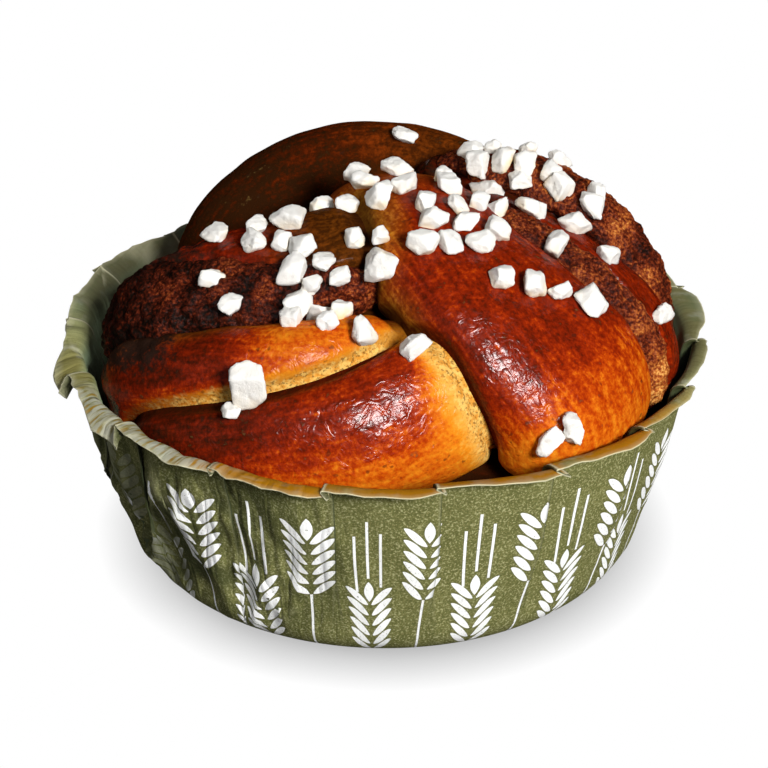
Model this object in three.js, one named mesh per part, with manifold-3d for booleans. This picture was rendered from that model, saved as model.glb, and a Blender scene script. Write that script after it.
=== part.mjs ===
// A cinnamon knot in its paper baking case: strands of sweet dough twisted over each other, with cinnamon
// filling showing along three of them and pearl sugar scattered on top.
// Millimetres, +Z up, origin at the middle of the case's flat base, -Y is the front.
import * as THREE from "three";
import { mergeVertices } from "three/addons/utils/BufferGeometryUtils.js";
import Module from "manifold-3d";

const wasm = await Module();
wasm.setup();

// Paper case: a flat floor, a rounded corner, a pleated wall that leans out and a flared lip
const PAPER = 0.6;
const FLOOR_RADIUS = 37;
const CORNER_RADIUS = 7;
const WALL_TOP_RADIUS = 49;
const WALL_TOP = 35;
const RIM_RADIUS = 53;
const RIM_HEIGHT = 36.6;
const RIM_OVAL = 1;
const PLEATS = 18;
const PLEAT_STEPS = 6;
const PLEAT_DEPTH = 1.5;
const PLEAT_DIP = 0.5;
const CORNER_STEPS = 3;

// Clear space between neighbouring pieces
const GAP = 0.35;

// Crumb that fills the case under the strands
const CORE_RADIUS = 46;
const CORE_SHOULDER = 25;
const CORE_TOP = 43;
const CORE_SIDES = 32;
const CORE_DOME_STEPS = 4;
const ROOM_SIDES = 64;

// Strands: the path of the section's middle, and half widths and half thicknesses at start, middle and end
const KNOT_MIDDLE = new THREE.Vector3(0, 0, 26);
const STRAND_RINGS = 18;
const STRAND_SIDES = 14;
const SECTION_POWER = 0.85;
const END_POWER = 10;
const CURVE_TENSION = 0.5;
const STRANDS = {
  crossing_band: {
    path: [
      [0, 16, 44], [2.5, 8, 52], [6, -4, 54.5], [12.5, -15, 51.5], [21.3, -22.8, 45.5], [28.3, -26, 38],
      [29.5, -25, 28],
    ],
    halfWidth: [13, 14.5, 16.5],
    halfThickness: [7.5, 9.5, 10],
  },
  front_lobe: {
    path: [
      [16, -23.5, 42], [8, -28.5, 39], [-4, -31.5, 35], [-16, -30, 32.5], [-28, -24.5, 30],
      [-36.5, -15, 28],
    ],
    halfWidth: [11, 11.5, 8],
    halfThickness: [7.5, 11, 9.5],
  },
  left_middle: {
    path: [
      [6, -19, 45], [-5, -24, 44.5], [-15, -25.5, 42.5], [-26, -22.5, 39.7], [-35.5, -16.5, 36],
      [-39.5, -11, 29],
    ],
    halfWidth: [3.5, 8, 9],
    halfThickness: [6, 9, 8],
  },
  left_upper: {
    path: [
      [4, -7, 53], [-7, -10, 52.5], [-17, -11.5, 49.5], [-27, -11, 46], [-35.5, -8.5, 41],
      [-39.5, -4, 33],
    ],
    halfWidth: [9.5, 11, 10],
    halfThickness: [8, 9, 8],
  },
  right_inner: {
    path: [[8, 7, 51], [17, 1, 52], [25, -4, 49.5], [33, -8.5, 45], [38.5, -11, 38], [37.5, -11.5, 30]],
    halfWidth: [8, 9.2, 8.8],
    halfThickness: [7, 8.7, 8],
  },
  right_outer: {
    path: [
      [6, 20, 51], [15.5, 14.5, 54], [25.7, 10, 52.9], [34.6, 6.3, 47.5], [38.9, 2.5, 39], [38.3, -0.5, 29],
    ],
    halfWidth: [8, 10.2, 9],
    halfThickness: [7, 8.8, 8],
  },
  inner_fold: {
    path: [[-37, 5, 31], [-29, 8, 40], [-16, 10.5, 45], [-2, 13, 47], [10, 16, 44]],
    halfWidth: [9, 9, 8],
    halfThickness: [7, 7, 6],
  },
  back_hoop: {
    path: [
      [-31, 14, 33], [-27.5, 19.5, 43.2], [-19.4, 24.5, 49.9], [-6.5, 27, 53.4], [7, 26, 53],
      [18, 21, 50], [29, 14, 42.5], [36, 7, 33],
    ],
    halfWidth: [8, 8, 8],
    halfThickness: [7, 8, 7],
  },
  back_roll: {
    path: [[-36, 9.5, 29], [-24, 27, 33], [0, 34, 35], [24, 27, 33], [36, 9.5, 29]],
    halfWidth: [11, 12, 11],
    halfThickness: [9, 10, 9],
  },
};

// Cinnamon filling: ribbons sunk in a strand, that show along one face of it.
// Angles and half angles are in degrees round the strand's section, at the strand's start and end.
// Inner and outer depths are shares of the section's reach.
const FILLING_RINGS = 16;
const FILLING_SIDES = 12;
const FILLING_POWER = 0.6;
const FILLING_INNER = 0.6;
const FILLING_OUTER = 1.05;
const FILLINGS = {
  cinnamon_filling_left: { strand: "left_upper", angles: [183, 60], halfAngles: [27, 50], from: 0.12, to: 0.95 },
  cinnamon_filling_right: { strand: "right_inner", angles: [42, 46], halfAngles: [22, 25], from: 0.14, to: 0.93 },
  cinnamon_filling_back: { strand: "right_outer", angles: [40, 48], halfAngles: [35, 39], from: 0.12, to: 0.93 },
};

// Pearl sugar: nibs strewn along trails seen from above, and a few that rolled away, with half sizes
const SUGAR_SEED = 2024;
const NIB_SEED = 77;
const NIB_HALF_SIZE = [2, 3];
const NIB_FLATNESS = [0.65, 0.95];
const NIB_CHIPS = [0.82, 1.12];
const NIB_LIFT = 0.5;
const SUGAR_TRAILS = [
  { from: [-28.5, -8], to: [-11.5, -8.9], nibs: 3, spread: 0.4 },
  { from: [-22.7, -11.4], to: [-10.3, -17.1], nibs: 3, spread: 0.4 },
  { from: [-16.6, -18.4], to: [-6.1, -18.3], nibs: 2, spread: 0.3 },
  { from: [-7.4, -14.5], to: [1.8, -17.3], nibs: 2, spread: 0.3 },
  { from: [-12.2, -2.2], to: [1.4, -9.5], nibs: 3, spread: 0.4 },
  { from: [-3.7, -3.8], to: [-4.5, 7.3], nibs: 2, spread: 0.3 },
  { from: [1, 7.3], to: [3.4, -8.6], nibs: 2, spread: 0.3 },
  { from: [5, -7.5], to: [11.2, -21.2], nibs: 3, spread: 0.4 },
  { from: [-2.5, -19.9], to: [8.2, -19.7], nibs: 2, spread: 0.2 },
  { from: [8.6, 3.2], to: [12.6, -16.3], nibs: 4, spread: 0.4 },
  { from: [14, -19.8], to: [17.9, -12.6], nibs: 2, spread: 0.3 },
  { from: [12.6, -7], to: [24.2, -4.3], nibs: 3, spread: 0.6 },
  { from: [11.2, 11.8], to: [30.5, 10.3], nibs: 4, spread: 0.6 },
  { from: [13.9, 8.9], to: [28.3, 4.7], nibs: 4, spread: 0.4 },
  { from: [13.5, 4.9], to: [37, 2.5], nibs: 4, spread: 0.5 },
  { from: [34.5, 3.5], to: [25.8, -13], nibs: 3, spread: 0.3 },
  { from: [14.8, -24.6], to: [33.8, -22.4], nibs: 4, spread: 0.4 },
  { from: [-28.2, -14.4], to: [-21.4, -24.1], nibs: 2, spread: 0.2 },
  { from: [-13.8, -21.3], to: [-4.6, -19.7], nibs: 2, spread: 0.2 },
  { from: [-15.3, -21.7], to: [-4.5, -20.9], nibs: 3, spread: 0.3 },
  { from: [-16.9, -25.6], to: [-1, -29], nibs: 3, spread: 0.4 },
];
const STRAY_NIBS = [
  { place: [3, 23.4], halfSize: 2.1 },
  { place: [4.3, -31.9], halfSize: 2.4 },
  { place: [-20.5, -32.9], halfSize: 4 },
  { place: [-23.1, -34.9], halfSize: 1.9 },
  { place: [34.7, -9.6], halfSize: 2.2 },
  { place: [43.3, -13.5], halfSize: 2.3 },
  { place: [27.4, -39], halfSize: 2.5 },
  { place: [25, -41.2], halfSize: 2.1 },
];

const CRUST_COLOUR = 0x9a4a16;
const FILLING_COLOUR = 0x5a2412;
const PAPER_COLOUR = 0x69714a;

const degrees = THREE.MathUtils.degToRad;
const clamp = THREE.MathUtils.clamp;
const lerp = THREE.MathUtils.lerp;

/** A closed geometry as a solid for joining and cutting. */
function solidOf(geometry) {
  geometry.deleteAttribute("normal");
  geometry.deleteAttribute("uv");
  const merged = mergeVertices(geometry, 1e-4);
  const vertProperties = merged.attributes.position.array;
  const triVerts = new Uint32Array(merged.index.array);
  return new wasm.Manifold(new wasm.Mesh({ numProp: 3, vertProperties, triVerts }));
}

/** The triangles of a solid as a geometry. */
function geometryOf(solid) {
  const mesh = solid.getMesh();
  const geometry = new THREE.BufferGeometry();
  geometry.setAttribute("position", new THREE.BufferAttribute(mesh.vertProperties, 3));
  geometry.setIndex(new THREE.BufferAttribute(mesh.triVerts, 1));
  geometry.computeVertexNormals();
  return geometry;
}

/** The largest of a solid's separate bodies. */
function largestBody(solid) {
  return solid.decompose().reduce((best, body) => (body.volume() > best.volume() ? body : best));
}

/** Moves every vertex of a geometry to where a function of its place puts it. */
function reshape(geometry, place) {
  const positions = geometry.attributes.position;
  const vertex = new THREE.Vector3();
  for (let i = 0; i < positions.count; i += 1) {
    vertex.fromBufferAttribute(positions, i);
    const moved = place(vertex, i);
    positions.setXYZ(i, moved.x, moved.y, moved.z);
  }
  return geometry;
}

/** A profile of radius and height, turned round the Z axis. */
function turned(profile, sides) {
  return new THREE.LatheGeometry(profile, sides).rotateX(Math.PI / 2);
}

/** The case's profile from the axis to the rim, moved inwards by a distance. */
function caseProfile(inset) {
  const outer = [new THREE.Vector2(0, 0)];
  for (let i = 0; i <= CORNER_STEPS; i += 1) {
    const angle = (i / CORNER_STEPS) * (Math.PI / 2);
    const radius = FLOOR_RADIUS + CORNER_RADIUS * Math.sin(angle);
    outer.push(new THREE.Vector2(radius, CORNER_RADIUS * (1 - Math.cos(angle))));
  }
  const foot = outer[outer.length - 1];
  const wallTop = new THREE.Vector2(WALL_TOP_RADIUS, WALL_TOP);
  const rim = new THREE.Vector2(RIM_RADIUS, RIM_HEIGHT);
  outer.push(foot.clone().lerp(wallTop, 0.5), wallTop, wallTop.clone().lerp(rim, 0.5), rim);
  return outer.map((point, i) => {
    const before = outer[Math.max(i - 1, 0)];
    const after = outer[Math.min(i + 1, outer.length - 1)];
    const along = after.clone().sub(before).normalize();
    const radius = i === 0 ? 0 : point.x - along.y * inset;
    return new THREE.Vector2(radius, point.y + along.x * inset);
  });
}

/** The pleated paper case: a turned shell whose wall steps outwards along each pleat. */
function paperCase() {
  const shell = turned([...caseProfile(0), ...caseProfile(PAPER).reverse()], PLEATS * PLEAT_STEPS);
  return reshape(shell, (vertex) => {
    const angle = Math.atan2(vertex.y, vertex.x);
    const step = Math.round((angle / (2 * Math.PI)) * PLEATS * PLEAT_STEPS);
    const share = (((step % PLEAT_STEPS) + PLEAT_STEPS) % PLEAT_STEPS) / PLEAT_STEPS;
    const rise = clamp((vertex.z - CORNER_RADIUS) / (RIM_HEIGHT - CORNER_RADIUS), 0, 1);
    const lip = clamp((vertex.z - WALL_TOP) / (RIM_HEIGHT - WALL_TOP), 0, 1);
    const reach = PLEAT_DEPTH * share * rise + RIM_OVAL * Math.cos(angle) ** 2 * rise ** 2;
    const radius = Math.hypot(vertex.x, vertex.y) + reach;
    const height = vertex.z - PLEAT_DIP * share * lip;
    return new THREE.Vector3(radius * Math.cos(angle), radius * Math.sin(angle), height);
  });
}

/** The space inside the case that the dough can take, open at the top. */
function roomInCase() {
  const rows = caseProfile(PAPER + GAP).slice(0, -2);
  const mouth = rows[rows.length - 1];
  const above = 2 * CORE_TOP;
  return turned([...rows, new THREE.Vector2(mouth.x, above), new THREE.Vector2(0, above)], ROOM_SIDES);
}

/** The crumb under the strands: the case's foot, a wall and an elliptical dome. */
function core() {
  const profile = caseProfile(PAPER + GAP).slice(0, 2 + CORNER_STEPS);
  for (let i = 0; i <= CORE_DOME_STEPS; i += 1) {
    const angle = (i / CORE_DOME_STEPS) * (Math.PI / 2);
    const height = CORE_SHOULDER + (CORE_TOP - CORE_SHOULDER) * Math.sin(angle);
    profile.push(new THREE.Vector2(i < CORE_DOME_STEPS ? CORE_RADIUS * Math.cos(angle) : 0, height));
  }
  return turned(profile, CORE_SIDES);
}

/** A value that runs through start, middle and end as a parabola. */
function bend([start, middle, end], share) {
  const rest = 1 - share;
  return start * rest * (rest - share) + middle * 4 * share * rest + end * share * (share - rest);
}

/** A point of a strand: a share along it, an angle round its section and a share of the section's reach. */
function strandPoint(strand, along, angle, reach) {
  const middle = strand.curve.getPoint(along);
  const tangent = strand.curve.getTangent(along);
  const out = middle.clone().sub(KNOT_MIDDLE).projectOnPlane(tangent).normalize();
  const side = tangent.clone().cross(out);
  const power = (value) => Math.sign(value) * Math.abs(value) ** SECTION_POWER;
  const sideways = bend(strand.halfWidth, along) * reach * power(Math.cos(angle));
  const outwards = bend(strand.halfThickness, along) * reach * power(Math.sin(angle));
  return middle.addScaledVector(side, sideways).addScaledVector(out, outwards);
}

/** How full a section is near the rounded ends of a strand or ribbon, from 0 to 1. */
function endFullness(share) {
  return Math.sqrt(Math.max(0, 1 - Math.abs(2 * share - 1) ** END_POWER));
}

/** A sphere whose latitude becomes a share along a path and whose longitude an angle round it. */
function sweptSphere(sides, rings, place) {
  return reshape(new THREE.SphereGeometry(1, sides, rings), (vertex) => {
    const share = Math.acos(clamp(vertex.y, -1, 1)) / Math.PI;
    return place(share, Math.atan2(-vertex.z, vertex.x));
  });
}

/** A strand of dough: a rounded section carried along its path. */
function strandGeometry(strand) {
  return sweptSphere(STRAND_SIDES, STRAND_RINGS, (share, angle) =>
    strandPoint(strand, share, angle, endFullness(share)),
  );
}

/** A ribbon of filling: a flat sector of its strand's section, grown by a distance on every side. */
function ribbonGeometry(filling, grown) {
  const strand = STRANDS[filling.strand];
  const thickness = bend(strand.halfThickness, 0.5);
  const grownShare = grown / thickness;
  const halfDepth = (FILLING_OUTER - FILLING_INNER) / 2 + grownShare;
  const middleDepth = (FILLING_OUTER + FILLING_INNER) / 2;
  const grownAngle = grownShare / middleDepth;
  const grownAlong = grown / strand.curve.getLength();
  const power = (value) => Math.sign(value) * Math.abs(value) ** FILLING_POWER;
  return sweptSphere(FILLING_SIDES, FILLING_RINGS, (share, angle) => {
    const along = lerp(filling.from - grownAlong, filling.to + grownAlong, share);
    const full = endFullness(share);
    const halfAngle = degrees(lerp(...filling.halfAngles, along)) + grownAngle;
    const turn = degrees(lerp(...filling.angles, along)) - halfAngle * full * power(Math.cos(angle));
    return strandPoint(strand, along, turn, middleDepth + halfDepth * full * power(Math.sin(angle)));
  });
}

/** A seeded row of numbers from 0 to 1, by the multiplicative rule of Park and Miller. */
function seededDraws(seed) {
  const multiplier = 16807;
  const modulus = 2147483647;
  let state = seed;
  return () => {
    state = (state * multiplier) % modulus;
    return state / modulus;
  };
}

/** Places and half sizes of the sugar nibs seen from above. */
function sugarPlaces() {
  const draw = seededDraws(SUGAR_SEED);
  const places = [];
  for (const trail of SUGAR_TRAILS) {
    const run = new THREE.Vector2(trail.to[0] - trail.from[0], trail.to[1] - trail.from[1]);
    const across = new THREE.Vector2(-run.y, run.x).normalize();
    for (let i = 0; i < trail.nibs; i += 1) {
      const share = (i + 0.4 + 0.2 * draw()) / trail.nibs;
      const sway = trail.spread * (2 * draw() - 1);
      const halfSize = lerp(...NIB_HALF_SIZE, draw());
      const x = trail.from[0] + run.x * share + across.x * sway;
      const y = trail.from[1] + run.y * share + across.y * sway;
      places.push({ place: [x, y], halfSize });
    }
  }
  return [...places, ...STRAY_NIBS];
}

/** A sugar nib: a chipped, slightly flattened chunk. */
function nibGeometry(halfSize, draw, turn, middle) {
  const chunk = new THREE.IcosahedronGeometry(halfSize, 0);
  chunk.deleteAttribute("normal");
  chunk.deleteAttribute("uv");
  const corners = mergeVertices(chunk, 1e-4);
  const flatness = lerp(...NIB_FLATNESS, draw());
  reshape(corners, (vertex) => vertex.multiplyScalar(lerp(...NIB_CHIPS, draw())));
  corners.scale(1, 1, flatness);
  corners.applyMatrix4(new THREE.Matrix4().makeRotationFromEuler(turn));
  return corners.translate(middle.x, middle.y, middle.z);
}

for (const strand of Object.values(STRANDS)) {
  const points = strand.path.map((point) => new THREE.Vector3(...point));
  strand.curve = new THREE.CatmullRomCurve3(points, false, "catmullrom", CURVE_TENSION);
}

const caseGeometry = paperCase();
const pieces = { paper_case: solidOf(caseGeometry.clone()) };

let dough = solidOf(core());
for (const strand of Object.values(STRANDS)) {
  dough = dough.add(solidOf(strandGeometry(strand)));
}
dough = dough.intersect(solidOf(roomInCase()));
for (const [name, filling] of Object.entries(FILLINGS)) {
  dough = dough.subtract(solidOf(ribbonGeometry(filling, GAP)));
  pieces[name] = solidOf(ribbonGeometry(filling, 0));
}
pieces.dough_knot = largestBody(dough);

// Each nib drops onto the piece below it and is fused there, if it stays clear of the other pieces
const landing = Object.entries(pieces).map(([name, solid]) => {
  const mesh = new THREE.Mesh(geometryOf(solid), new THREE.MeshStandardMaterial());
  mesh.name = name;
  return mesh;
});
const nibDraw = seededDraws(NIB_SEED);
const dropHeight = 2 * CORE_TOP;
for (const { place, halfSize } of sugarPlaces()) {
  const ray = new THREE.Raycaster(new THREE.Vector3(...place, dropHeight), new THREE.Vector3(0, 0, -1));
  const [hit] = ray.intersectObjects(landing);
  const middle = hit.point.clone().addScaledVector(hit.face.normal, NIB_LIFT * halfSize);
  const turn = new THREE.Euler(Math.PI * nibDraw(), Math.PI * nibDraw(), Math.PI * nibDraw());
  const chipSeed = 1 + Math.floor(nibDraw() * 1e6);
  const nib = solidOf(nibGeometry(halfSize, seededDraws(chipSeed), turn, middle));
  const nibAndGap = solidOf(nibGeometry(halfSize + GAP / NIB_CHIPS[0], seededDraws(chipSeed), turn, middle));
  const host = hit.object.name;
  const others = Object.keys(pieces).filter((name) => name !== host);
  if (host !== "paper_case" && others.every((name) => nibAndGap.intersect(pieces[name]).volume() === 0)) {
    pieces[host] = pieces[host].add(nib);
  }
}

const knot = new THREE.Group();
const finishes = {
  paper_case: { color: PAPER_COLOUR, roughness: 0.85, metalness: 0 },
  dough_knot: { color: CRUST_COLOUR, roughness: 0.4, metalness: 0 },
};
for (const [name, solid] of Object.entries(pieces)) {
  const geometry = name === "paper_case" ? caseGeometry : geometryOf(solid);
  const finish = finishes[name] ?? { color: FILLING_COLOUR, roughness: 0.8, metalness: 0 };
  const mesh = new THREE.Mesh(geometry, new THREE.MeshStandardMaterial(finish));
  mesh.name = name;
  knot.add(mesh);
}

export default knot;
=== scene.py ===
import math

import bpy
import numpy as np
from mathutils import Euler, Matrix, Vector


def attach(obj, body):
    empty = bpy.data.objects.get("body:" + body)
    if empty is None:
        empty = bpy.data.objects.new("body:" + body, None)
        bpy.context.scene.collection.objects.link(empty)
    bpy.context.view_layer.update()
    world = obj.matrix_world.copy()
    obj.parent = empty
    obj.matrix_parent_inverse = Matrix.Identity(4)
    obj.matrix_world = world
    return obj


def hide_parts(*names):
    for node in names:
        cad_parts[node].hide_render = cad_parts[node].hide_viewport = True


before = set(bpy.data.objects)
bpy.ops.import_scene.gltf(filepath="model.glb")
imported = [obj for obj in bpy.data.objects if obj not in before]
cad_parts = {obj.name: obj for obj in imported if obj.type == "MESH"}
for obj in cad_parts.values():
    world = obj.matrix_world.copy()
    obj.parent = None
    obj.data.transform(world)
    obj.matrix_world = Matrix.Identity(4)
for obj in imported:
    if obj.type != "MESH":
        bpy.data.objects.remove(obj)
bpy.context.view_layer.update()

# Paper case
# One round sheet of greaseproof baking paper, printed olive with white wheat ears outside and pale inside.
# A hot die presses it into a cup, and the spare paper folds into pleats that overlap like petals at the lip.

MILLIMETRE = 0.001
FLOOR_RADIUS = 37.0
CORNER_RADIUS = 7.0
WALL_TOP = np.array([48.9, 35.0])
LIP_BEND = np.array([49.2, 36.9])
LIP_EDGE = np.array([53.1, 36.5])
PAPER_THICKNESS = 0.16
RIM_OVAL = 0.2
FLOOR_ROWS = 6
CORNER_ROWS = 9
WALL_ROWS = 30
LIP_ROWS = 9
LIP_LAST_ROW = 0.97

PLEATS = 18
PLEAT_COLUMNS = 26
PLEAT_DEPTH = 1.8
PLEAT_OVERLAP = 0.12
PLEAT_START = math.radians(-99.5)
FOLD_SHARPNESS = 0.97
FOLD_CROWDING = 0.9
FOLD_HALF_WIDTH = math.acos(FOLD_SHARPNESS) / (2 * math.pi)
FOLD_FOOT = 6.0
FOLD_FULL = 28.0
# How far a pleat stands out, as a share of its depth, and what the right side adds
PLEAT_STANDOUT = 0.55
PLEAT_STANDOUT_RIGHT = 0.5

# How the pleats differ from each other
CASE_SEED = 11
PLEAT_UNEVENNESS = 0.12
PLEAT_DEPTH_SPREAD = (0.7, 1.25)
LIP_LENGTH_SPREAD = (0.85, 1.15)
LIP_LIFT_SPREAD = (-0.5, 0.5)

# The lip's reach at a pleat's start, what it gains along the pleat and what the tip loses where it is tucked
LIP_REACH_START = 0.84
LIP_REACH_GAIN = 0.2
LIP_REACH_TUCK = 0.3
LIP_TUCK_START = 0.8
LIP_TIP_DROP = 0.5
LIP_HANG = 3.2
# Every table of waves, lumps or grains in this file has rows of spacing, height and seed
LIP_WAVES = ((2.4, 0.3, 5), (0.9, 0.08, 6))
# Stretches of the rim that were pulled out of shape: the middle in degrees round from the right, the cosines
# of the turn from it where the change starts and is full, the lip's gain in reach, and its lift
RIM_STRETCHES = {
    "upright": (140, 0.6, 0.95, -0.2, 2.3),
    "narrow": (-20, 0.9, 0.98, -0.35, 0),
    "wide": (22, 0.9, 0.98, 0.25, 0),
    "raised": (-62, 0.88, 0.98, 0, 0.9),
    "hanging": (201, 0.85, 0.97, 0, 0),
    "right_half": (0, -0.3, 0.7, 0, 0),
    "right_lip": (12, 0.7, 0.92, 0, 0),
}

# Crumples of the wall: their depth all round and what the left side adds
CREASE_SPACING = (5.5, 5.5, 30)
CREASE_SEED = 3
CREASE_DEPTH = 0.35
CREASE_DEPTH_LEFT = 2.4
FINE_CREASE_SPACING = (3.2, 3.2, 9)
FINE_CREASE_SEED = 4
FINE_CREASE_SLANT = 0.25
FINE_CREASE_DEPTH = 0.15
FINE_CREASE_DEPTH_LEFT = 0.8
CREASE_LEVEL = 0.4
# The left side, turned a little to the front: where it starts and where it is full
LEFT_SLANT = 0.3
LEFT_REACH = (8, 44)


def lattice_random(cells, seed):
    """One repeatable number from 0 to 1 for each whole-number cell, by mixing the bits of its places."""
    mixed = cells[..., 0] * 73856093 ^ cells[..., 1] * 19349663 ^ cells[..., 2] * 83492791 ^ seed * 2654435761
    mixed = (mixed ^ (mixed >> 15)) * 2246822519 & 0xFFFFFFFF
    mixed = (mixed ^ (mixed >> 13)) * 3266489917 & 0xFFFFFFFF
    return ((mixed ^ (mixed >> 16)) & 0xFFFFFF) / float(0xFFFFFF)


def lattice_noise(points, spacing, seed):
    """Soft noise from -1 to 1: random heights on a lattice of the given spacing, blended by cubic weights."""
    places = points / np.asarray(spacing, float)
    cells = np.floor(places).astype(np.int64)
    share = places - cells
    share = share * share * (3 - 2 * share)
    total = np.zeros(points.shape[:-1])
    for corner in np.ndindex(2, 2, 2):
        weight = np.prod(np.where(corner, share, 1 - share), axis=-1)
        total += weight * lattice_random(cells + np.array(corner), seed)
    return 2 * total - 1


def layered_noise(points, layers):
    """The sum of several noises, each times its height."""
    return sum(height * lattice_noise(points, spacing, seed) for spacing, height, seed in layers)


def smooth_rise(values, start, end):
    """0 before start, 1 after end and a smooth cubic between them."""
    share = np.clip((values - start) / (end - start), 0, 1)
    return share * share * (3 - 2 * share)


def surface_directions(grid):
    """Unit normals of a grid that closes on itself along its columns: the cross product of its two slopes."""
    around = np.roll(grid, -1, axis=1) - np.roll(grid, 1, axis=1)
    along = np.gradient(grid, axis=0)
    normals = np.cross(around, along)
    return normals / np.maximum(np.linalg.norm(normals, axis=-1, keepdims=True), 1e-9)


def with_poles(values):
    """A grid's values as one list, with the first and the last row each drawn together to one point."""
    tail = values.shape[2:]
    return np.concatenate([values[:1, 0], values[1:-1].reshape(-1, *tail), values[-1:, 0]])


def pole_faces(rows, columns):
    """Quads of a grid that closes along its columns, and triangles to the points that close its two ends."""
    column = np.arange(columns)
    after = (column + 1) % columns
    start = 1 + columns * np.arange(rows - 3)[:, None]
    quads = np.stack([start + column, start + after, start + columns + after, start + columns + column], -1)
    last = 1 + columns * (rows - 3)
    first_fan = np.stack([np.zeros_like(column), 1 + after, 1 + column], -1)
    last_fan = np.stack([np.full_like(column, 1 + columns * (rows - 2)), last + column, last + after], -1)
    return quads.reshape(-1, 4), np.concatenate([first_fan, last_fan])


def add_piece(name, points, *faces):
    """A smooth mesh object from points in millimetres and arrays of faces, at the origin."""
    mesh = bpy.data.meshes.new(name)
    mesh.from_pydata(points * MILLIMETRE, [], [face for group in faces for face in group.tolist()])
    mesh.polygons.foreach_set("use_smooth", np.ones(len(mesh.polygons), bool))
    piece = bpy.data.objects.new(name, mesh)
    bpy.context.scene.collection.objects.link(piece)
    return piece


def add_values(piece, name, values):
    """One number for each point of a piece, for its material to read."""
    layer = piece.data.attributes.new(name, "FLOAT", "POINT")
    layer.data.foreach_set("value", np.asarray(values, np.float32))


def case_profile():
    """Radius and height from the floor's middle to the lip's edge: a flat floor, a corner arc that ends in
    the wall's direction, a straight wall, and a lip that turns outwards along a parabola."""
    lean = math.atan2(WALL_TOP[0] - FLOOR_RADIUS - CORNER_RADIUS, WALL_TOP[1] - CORNER_RADIUS)
    turn = np.linspace(0, math.pi / 2 - lean, CORNER_ROWS)
    floor = np.stack([np.linspace(0, FLOOR_RADIUS, FLOOR_ROWS), np.zeros(FLOOR_ROWS)], 1)
    corner = np.stack([FLOOR_RADIUS + CORNER_RADIUS * np.sin(turn), CORNER_RADIUS * (1 - np.cos(turn))], 1)
    wall = np.linspace(corner[-1], WALL_TOP, WALL_ROWS)
    share = np.append(np.linspace(0, LIP_LAST_ROW, LIP_ROWS - 1), 1.0)[:, None]
    lip = (1 - share) ** 2 * WALL_TOP + 2 * share * (1 - share) * LIP_BEND + share**2 * LIP_EDGE
    return np.concatenate([floor, corner[1:], wall[1:], lip[1:]])


def pleat_fold():
    """One pleat seen from above, as shares along the paper, round the case and outwards, and the closeness
    to the drop. Outwards is a smooth saw tooth that climbs along the pleat and drops at its end. The turn
    round the case runs ahead as it climbs, so that the drop doubles back under the pleat."""
    even = np.arange(PLEAT_COLUMNS) / PLEAT_COLUMNS
    step = even - FOLD_CROWDING * np.sin(2 * np.pi * even) / (2 * np.pi)
    wave = 2 * np.pi * step
    drop = np.arctan2(FOLD_SHARPNESS * np.sin(wave), 1 - FOLD_SHARPNESS * np.cos(wave))
    reach = 0.5 - 0.5 * drop / math.asin(FOLD_SHARPNESS)
    turn = step + PLEAT_OVERLAP * (reach - 0.5)
    pleat_width = 2 * math.pi * WALL_TOP[0] / PLEATS
    run = np.diff(turn, append=turn[0] + 1) * pleat_width
    climb = np.diff(reach, append=reach[0]) * PLEAT_DEPTH
    length = np.cumsum(np.hypot(run, climb))
    paper = np.concatenate([[0], length[:-1]]) / length[-1]
    return paper, turn, reach, np.minimum(step, 1 - step) / FOLD_HALF_WIDTH


def round_values(values):
    """Numbers given once for each pleat, blended along the columns between one pleat's start and the next."""
    places = np.arange(PLEATS * PLEAT_COLUMNS) / PLEAT_COLUMNS
    return np.interp(places, np.arange(PLEATS + 1), np.append(values, values[0]))


def case_points(radius, angle, height):
    """Points at radii from the case's axis, angles round it and heights."""
    return np.stack([radius * np.cos(angle), radius * np.sin(angle), height], -1)


case_draws = np.random.default_rng(CASE_SEED)
pleat_widths = 1 + PLEAT_UNEVENNESS * case_draws.uniform(-1, 1, PLEATS)
pleat_widths *= 2 * math.pi / pleat_widths.sum()
pleat_starts = PLEAT_START + np.concatenate([[0], np.cumsum(pleat_widths)[:-1]])
pleat_depths = round_values(PLEAT_DEPTH * case_draws.uniform(*PLEAT_DEPTH_SPREAD, PLEATS))
lip_lengths = round_values(case_draws.uniform(*LIP_LENGTH_SPREAD, PLEATS))
lip_lifts = round_values(case_draws.uniform(*LIP_LIFT_SPREAD, PLEATS))

profile = case_profile()
up_paper = np.concatenate([[0], np.cumsum(np.hypot(*np.diff(profile, axis=0).T))]) - FLOOR_RADIUS
lip_foot = up_paper[-LIP_ROWS]
paper_share, turn_share, reach_share, from_fold = (np.tile(share, PLEATS) for share in pleat_fold())
pleat_of_column = np.repeat(np.arange(PLEATS), PLEAT_COLUMNS)
folded = smooth_rise(up_paper, FOLD_FOOT, FOLD_FULL)[:, None]
round_share = paper_share + folded * (turn_share - paper_share)
case_angle = pleat_starts[pleat_of_column] + pleat_widths[pleat_of_column] * round_share

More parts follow.
